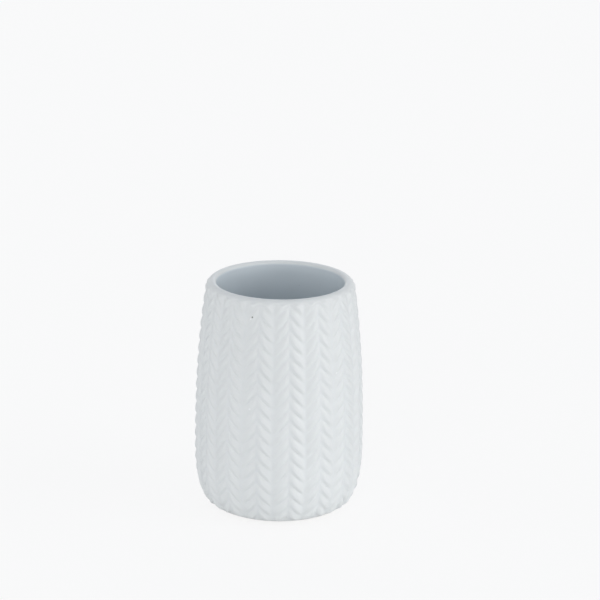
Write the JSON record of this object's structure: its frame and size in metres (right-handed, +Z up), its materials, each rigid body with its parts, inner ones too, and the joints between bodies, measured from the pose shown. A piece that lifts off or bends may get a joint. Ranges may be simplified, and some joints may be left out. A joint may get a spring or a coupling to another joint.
{
  "type": "bathroom tumbler",
  "caption": "Round ceramic bathroom tumbler with a herringbone of raised leaves round its wall, a rounded lip and rubber feet under its base, for standing brushes in or drinking from.",
  "frame": {"origin": "on the surface that the tumbler stands on, under the middle of the cup", "axes": "+Z up along the cup's axis, -Y through a seam where two columns of leaves meet in a V, +X to the right of it"},
  "size_m": [0.0798, 0.0798, 0.11],
  "materials": {
    "matte_glaze": "matte white glaze with a faint cool tint",
    "foot_rubber": "pale grey soft rubber, matte"
  },
  "bodies": {
    "root": {"cup": "matte_glaze", "foot_front": "foot_rubber", "foot_right": "foot_rubber", "foot_back": "foot_rubber", "foot_left": "foot_rubber"}
  },
  "joints": []
}
